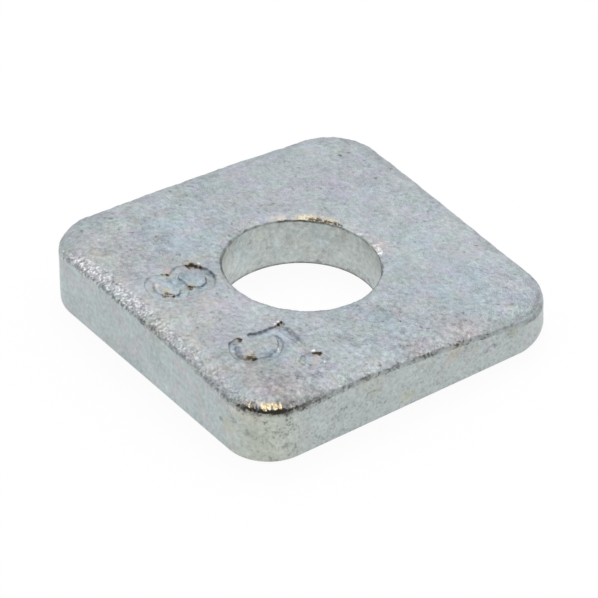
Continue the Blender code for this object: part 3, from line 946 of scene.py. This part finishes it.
    hairs = hairs.ramp(0.05, 0.4) * (from_rim + jagged * (0.18 * MM)).ramp(-0.48 * MM, -0.24 * MM)
    hairs = hairs * (granular * 0.8 + jagged * 0.8).ramp(-0.40, 0.0) * (1.0 - wall)
    foot_line = (from_foot + jagged * (0.08 * MM)).ramp(0.18 * MM, 0.08 * MM)
    foot_line = foot_line * (blotched * 0.8 + jagged * 0.3 + 0.5).clamp()
    wall_spots = 0.0
    for x, y, z, radius, share in WALL_SPOTS:
        wall_spots = (stain(x, y, z, radius) * share).math("MAXIMUM", wall_spots)

    # The figures' walls: painted shade where they reflect the tent's dark mouth, painted gold, pink and pale blue
    # reflections and white glints, and smudges
    struck = attribute("struck")
    steep = upward.ramp(0.80, 0.25) * struck
    # Painted shade where the figures' walls reflect the tent's dark mouth
    dark_reflected = ragged(attribute("burns") * (steep * 0.35 + 0.78), 0.65)
    # Weaker painted shade, slate grey, on the walls that half face the mouth
    half_dark_reflected = attribute("dulled") * (steep * 0.75 + struck * 0.30) + jagged * 0.70
    half_dark_reflected = half_dark_reflected.ramp(0.20, 0.85) * struck
    # Smudges, and painted shade along the figures' walls
    smudged_and_shaded = ragged(attribute("smudges"), 0.7).ramp(0.05, 0.90)
    # Painted reflections round the figures: gold, pink and pale blue
    gold_reflected = ragged(attribute("stains"), 1.0).ramp(0.25, 1.0)
    pink_highlighted = ragged(attribute("blushes"), 1.0).ramp(0.25, 1.1)
    sheen = ragged(attribute("sheens"), 0.6).ramp(0.15, 1.0)
    # Painted shade: a thin dark outline along the walls of the figures and the side knocks
    outline = attribute("outline") * (blotched * 1.4 + jagged * 0.7 + 0.15).clamp()
    outline = outline * (side * 0.50 + 0.22)
    # Painted white glints
    glints = ragged(attribute("glints"), 0.60).ramp(0.30, 0.90)

    # Painted reflections: pale blue sheens, brassy fringes and pink highlights
    colour = tint(colour, SHEEN, sheen * 0.70)
    colour = tint(colour, BRASSY_REFLECTION, (gold_reflected * 0.60).math("MAXIMUM", dark_reflected.ramp(0.15, 0.38) * 0.3))
    colour = tint(colour, PINK_HIGHLIGHT, pink_highlighted * 0.80)
    # Painted shade in slate: outlines and weaker dark reflections, with smudges
    colour = tint(colour, SLATE, outline.math("MAXIMUM", half_dark_reflected * 0.80).math("MAXIMUM", smudged_and_shaded * 0.7))
    # Painted shade: brown edges of those dark reflections
    colour = tint(colour, BROWN, dark_reflected.ramp(0.30, 0.52) * 0.75)
    # Smoky grey: softer painted shade round the near corner's dark reflection and along the crease, with the foot
    # line, wall spots, corner lines and dots
    dusk = (corner_soft_shade * 0.65).math("MAXIMUM", foot_line * 0.85)
    dusk = dusk.math("MAXIMUM", soft_crease * 0.48).math("MAXIMUM", wall_spots * 0.8)
    corner_lines = (shifted + 0.45 * MM).math("ABSOLUTE").ramp(0.14 * MM, 0.05 * MM) * 0.5
    corner_lines = corner_lines.math("MAXIMUM", shifted.math("ABSOLUTE").ramp(0.16 * MM, 0.05 * MM) * 0.7)
    corner_lines = corner_lines * near(10.4, 9.4, 2.4).ramp(0.1, 0.5) * (blotched * 0.4 + 0.7).clamp()
    dusk = dusk.math("MAXIMUM", corner_lines)
    colour = tint(colour, SMOKY, dusk.math("MAXIMUM", dots * 0.75))
    # Painted sparkle highlights above the crease
    colour = tint(colour, PAINTED_GLINT_WHITE, glint_flecks * 0.55)
    # Painted golden highlights
    colour = tint(colour, PAINTED_GOLD_GLINT, (gold_glint * 0.95).math("MAXIMUM", rim_gold_glint * 0.95))
    # Painted shade in black: the dark reflections at the near corner, rim, figures and crease; with the tufts and
    # hairlines
    black_shade_and_hairlines = (corner_dark_reflection * (0.92 - gold_glint * 0.70)).math("MAXIMUM", rim_dark * 0.75).math("MAXIMUM", dark_reflected.ramp(0.48, 0.72) * 0.9)
    black_shade_and_hairlines = black_shade_and_hairlines.math("MAXIMUM", crease_dark_reflection * 0.78).math("MAXIMUM", tufts * 0.8)
    black_shade_and_hairlines = black_shade_and_hairlines.math("MAXIMUM", hairs * 0.92)
    colour = tint(colour, SHADE_AND_HAIRLINE_BLACK, black_shade_and_hairlines)
    # Painted white glints on the figures and beside the rim
    colour = tint(colour, PAINTED_GLINT_WHITE, glints * 0.85)
    plug(shader.inputs["Base Color"], colour)
    shader.inputs["Metallic"].default_value = 0.8
    rough = coarse * 0.06 + 0.36 - wall * 0.06 - (gold_glint + rim_gold_glint).clamp() * 0.10
    plug(shader.inputs["Roughness"], rough.clamp(0.2, 0.6))

    fine = noise(tree, place, 0.22 * MM, detail=4.0, roughness=0.7, seed=10.0)
    fine = fine * (1.0 - side * 0.5 - wall * 0.5)
    bump = add_node(tree, "ShaderNodeBump", Strength=1.0, Distance=0.025 * MM, Height=fine)
    plug(shader.inputs["Normal"], out(bump))
    return material


def make_washer():
    """The plate with its figures and coat, in place of the plain solid."""
    material = zinc_plate()
    mesh = bpy.data.meshes.new("washer_plate")
    washer = bpy.data.objects.new("washer_plate", mesh)
    bpy.context.scene.collection.objects.link(washer)
    grown(washer, *washer_form(material))
    figures = figure_strokes()
    wire = stroke_object("strokes", figures + side_marks())
    refine_walls(washer, figures, 0.20 * MM, 2)
    grown(washer, *struck_surface(material, wire))
    bpy.data.objects.remove(wire)
    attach(washer, "root")
    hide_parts("taper_washer")
    return washer


def white_ray(tree):
    """1 for the rays that show the background: straight to the camera, or off or through a surface."""
    path = tree.nodes.new("ShaderNodeLightPath")
    seen = out(path, "Is Camera Ray").math("MAXIMUM", out(path, "Is Transmission Ray"))
    return seen, out(path, "Is Glossy Ray")


def make_floor():
    """The pale sheet that the washer lies on. It keeps a faint shadow."""
    bpy.ops.mesh.primitive_plane_add(size=3.0)
    floor = bpy.context.object
    floor.name = "floor"
    material = bpy.data.materials.new("white_sheet")
    material.use_nodes = True
    tree = material.node_tree
    tree.nodes.clear()
    seen, mirrored = white_ray(tree)
    paper = add_node(tree, "ShaderNodeBsdfDiffuse", Color=(0.99, 0.99, 0.99, 1.0))
    white = add_node(tree, "ShaderNodeEmission", Color=(1.0, 1.0, 1.0, 1.0), Strength=1.0)
    mixed = add_node(tree, "ShaderNodeMixShader")
    plug(mixed.inputs["Fac"], seen.math("MAXIMUM", mirrored) * 0.92)
    plug(mixed.inputs[1], out(paper))
    plug(mixed.inputs[2], out(white))
    end = tree.nodes.new("ShaderNodeOutputMaterial")
    plug(end.inputs["Surface"], out(mixed))
    floor.data.materials.append(material)


def make_tent():
    """White light tent all round, with a dark mouth towards the camera."""
    world = bpy.data.worlds.new("light_tent")
    bpy.context.scene.world = world
    world.use_nodes = True
    tree = world.node_tree
    tree.nodes.clear()
    back = view_axis()
    right = Vector((math.cos(CAMERA_AZIMUTH), math.sin(CAMERA_AZIMUTH), 0.0))
    direction = out(tree.nodes.new("ShaderNodeTexCoord"), "Generated")
    across = along(tree, direction, right) * (1.0 / MOUTH_ACROSS)
    upward = along(tree, direction, back.cross(right)) * (1.0 / MOUTH_UP)
    reach = (across * across + upward * upward).math("SQRT")
    mouth = reach.ramp(1.15, 0.8) * along(tree, direction, back).ramp(0.0, 0.2)
    dark = add_node(tree, "ShaderNodeMix", {"data_type": "RGBA"})
    plug(dark.inputs["Factor"], mouth)
    dark.inputs[6].default_value = (1.0, 1.0, 1.0, 1.0)
    dark.inputs[7].default_value = (0.20, 0.19, 0.18, 1.0)
    tent = add_node(tree, "ShaderNodeBackground", Color=out(dark, 2), Strength=0.92)
    white = add_node(tree, "ShaderNodeBackground", Color=(1.0, 1.0, 1.0, 1.0), Strength=1.0)
    seen, _ = white_ray(tree)
    mixed = add_node(tree, "ShaderNodeMixShader")
    plug(mixed.inputs["Fac"], seen)
    plug(mixed.inputs[1], out(tent))
    plug(mixed.inputs[2], out(white))
    end = tree.nodes.new("ShaderNodeOutputWorld")
    plug(end.inputs["Surface"], out(mixed))


def add_softbox(name, azimuth, elevation, colour, half_angle, radiance):
    """A square lamp that points at the washer, of this half angle as seen from there."""
    turn, rise = math.radians(azimuth), math.radians(elevation)
    away = Vector((math.sin(turn) * math.cos(rise), -math.cos(turn) * math.cos(rise), math.sin(rise)))
    lamp = bpy.data.lights.new(name, "AREA")
    lamp.size = 2.0 * SOFTBOX_DISTANCE * math.tan(math.radians(half_angle))
    lamp.color = colour
    lamp.energy = radiance * math.pi * lamp.size * lamp.size
    holder = bpy.data.objects.new(name, lamp)
    holder.location = away * SOFTBOX_DISTANCE
    holder.rotation_euler = (-away).to_track_quat("-Z", "Y").to_euler()
    bpy.context.scene.collection.objects.link(holder)


def view_axis():
    """Unit vector from the washer towards the camera."""
    level = math.cos(CAMERA_ELEVATION)
    x = math.sin(CAMERA_AZIMUTH) * level
    y = -math.cos(CAMERA_AZIMUTH) * level
    return Vector((x, y, math.sin(CAMERA_ELEVATION)))


def make_camera():
    """The camera at the photograph's viewing angle."""
    back = view_axis()
    level_right = Vector((math.cos(CAMERA_AZIMUTH), math.sin(CAMERA_AZIMUTH), 0.0))
    level_up = back.cross(level_right)
    turn_cos, turn_sin = math.cos(CAMERA_ROLL), math.sin(CAMERA_ROLL)
    right = level_right * turn_cos + level_up * turn_sin
    up = level_up * turn_cos - level_right * turn_sin
    target = Vector((0.0, 0.0, 0.08 * SIDE))
    place = target + right * AIM_RIGHT + up * AIM_UP + back * CAMERA_DISTANCE
    lens = bpy.data.cameras.new("camera")
    lens.lens = CAMERA_LENS
    lens.sensor_width = 36.0
    lens.clip_start = 0.01
    lens.clip_end = 10.0
    camera = bpy.data.objects.new("camera", lens)
    camera.matrix_world = Matrix.Translation(place) @ Matrix((right, up, back)).transposed().to_4x4()
    bpy.context.scene.collection.objects.link(camera)
    bpy.context.scene.camera = camera


make_washer()
make_floor()
make_tent()
add_softbox("back_softbox", -125.0, 58.0, (1.0, 1.0, 1.0), 15.0, 2.5)
add_softbox("overhead_softbox", 55.0, 82.0, (1.0, 0.86, 0.64), 8.0, 4.0)
make_camera()
bpy.context.scene.view_settings.view_transform = "Standard"
